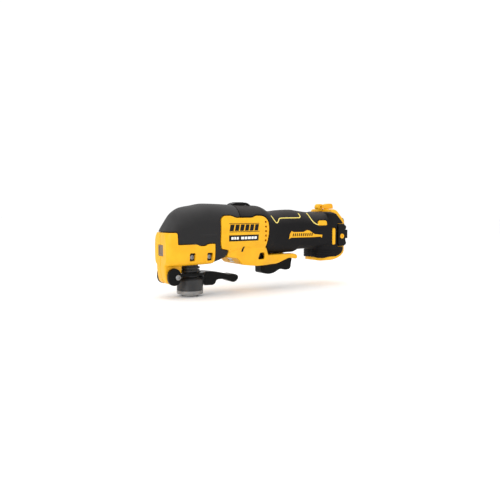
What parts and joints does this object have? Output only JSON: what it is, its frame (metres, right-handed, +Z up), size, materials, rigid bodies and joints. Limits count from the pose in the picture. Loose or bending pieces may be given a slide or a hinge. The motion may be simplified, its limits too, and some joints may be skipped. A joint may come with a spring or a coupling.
{
  "type": "cordless oscillating multi-tool",
  "caption": "Compact cordless oscillating multi-tool with a squeeze-lever blade clamp, paddle trigger and slide-out battery in a flared rear foot.",
  "frame": {"origin": "centre of the clamp flange's flat bottom face, on the axis the spindle swings about", "axes": "+X from the tool head to the battery, +Y to the tool's right-hand side, +Z up along the spindle, away from the blade"},
  "size_m": [0.2853, 0.0608, 0.1169],
  "materials": {
    "yellow_nylon": "moulded glass-filled nylon, satin",
    "grip_rubber": "fine-grained soft overmould",
    "boot_rubber": "fine-grained soft overmould",
    "label_black": "printed label film",
    "insert_grey": "satin",
    "bright_steel": "turned and zinc plated",
    "dark_steel": "black oxide",
    "ground_steel": "ground",
    "cast_alloy": "die cast",
    "windings": "enamelled copper wire on a laminated core",
    "gloss_black": "smooth moulded",
    "black_nylon": "moulded",
    "circuit_board": "solder mask",
    "clear_lens": "clear polycarbonate",
    "cell_steel": "shrink-wrapped cell"
  },
  "bodies": {
    "tool_body": {"housing_left": "yellow_nylon", "housing_right": "yellow_nylon", "grip_left": "grip_rubber", "grip_right": "grip_rubber", "head_shell_left": "yellow_nylon", "head_shell_right": "yellow_nylon", "nameplate_left": "label_black", "nameplate_right": "label_black", "label_bar_left": "label_black", "label_bar_right": "label_black", "head_boot": "boot_rubber", "nose_insert": "insert_grey", "hang_loop": "yellow_nylon", "head_screw_1": "bright_steel", "head_screw_2": "bright_steel", "body_screw_1": "dark_steel", "body_screw_2": "dark_steel", "body_screw_3": "dark_steel", "body_screw_4": "dark_steel", "body_screw_5": "dark_steel", "body_screw_6": "dark_steel", "gear_case": "cast_alloy", "lower_bearing": "ground_steel", "upper_bearing": "ground_steel", "stator_core": "windings", "front_motor_bearing": "ground_steel", "rear_motor_bearing": "ground_steel", "lever_pin": "bright_steel", "trigger_pin": "bright_steel", "switch_module": "black_nylon", "controller_board": "circuit_board", "terminal_block": "insert_grey", "led_lens": "clear_lens", "led_board": "circuit_board"},
    "spindle_set": {"spindle": "ground_steel", "clamp_flange": "bright_steel", "drive_fork": "dark_steel", "holder_spring": "bright_steel"},
    "accessory_holder": {"accessory_holder": "gloss_black"},
    "lever": {"lever": "gloss_black"},
    "rotor": {"rotor_shaft": "ground_steel", "counterweight": "cast_alloy", "rotor_core": "dark_steel", "cooling_fan": "gloss_black", "eccentric_bearing": "ground_steel"},
    "trigger": {"trigger": "gloss_black"},
    "lock_slider": {"lock_slider": "gloss_black"},
    "battery": {"pack_sleeve": "black_nylon", "pack_cap": "black_nylon", "battery_cell_1": "cell_steel", "battery_cell_2": "cell_steel", "battery_cell_3": "cell_steel"},
    "latch_left": {"latch_button_left": "grip_rubber", "latch_eye_left": "yellow_nylon"},
    "latch_right": {"latch_button_right": "grip_rubber", "latch_eye_right": "yellow_nylon"}
  },
  "joints": [
    {"name": "spindle_osc", "type": "hinge", "parent": "tool_body", "child": "spindle_set", "pos_m": [0, 0, 0], "axis": [0, 0, 1], "range_deg": [-1.6, 1.6]},
    {"name": "lever_squeeze", "type": "hinge", "parent": "tool_body", "child": "lever", "pos_m": [-0.0247, 0, 0.0263], "axis": [0, -1, 0], "range_deg": [0, 7.8], "stiffness_Nm_per_rad": 2, "springref_deg": -5.73},
    {"name": "holder_lift", "type": "slide", "parent": "spindle_set", "child": "accessory_holder", "axis": [0, 0, 1], "range_m": [0, 0.0034], "deforming": ["holder_spring"]},
    {"name": "rotor_spin", "type": "hinge", "parent": "tool_body", "child": "rotor", "pos_m": [0.05, 0, 0.082], "axis": [1, 0, 0], "continuous": true},
    {"name": "trigger_press", "type": "hinge", "parent": "tool_body", "child": "trigger", "pos_m": [0.149, 0, 0.0436], "axis": [0, 1, 0], "range_deg": [0, 4.5], "stiffness_Nm_per_rad": 3, "springref_deg": -6.88},
    {"name": "lock_slide", "type": "slide", "parent": "tool_body", "child": "lock_slider", "axis": [1, 0, 0], "range_m": [0, 0.006]},
    {"name": "pack_slide", "type": "slide", "parent": "tool_body", "child": "battery", "axis": [1, 0, 0], "range_m": [0, 0.075]},
    {"name": "latch_left_press", "type": "slide", "parent": "battery", "child": "latch_left", "axis": [0, 1, 0], "range_m": [0, 0.0025], "stiffness_N_per_m": 800, "springref_m": -0.001},
    {"name": "latch_right_press", "type": "slide", "parent": "battery", "child": "latch_right", "axis": [0, -1, 0], "range_m": [0, 0.0025], "stiffness_N_per_m": 800, "springref_m": -0.001}
  ],
  "couplings": [
    {"joint": "holder_lift", "follows": "lever_squeeze", "m_per_rad": 0.0247}
  ]
}
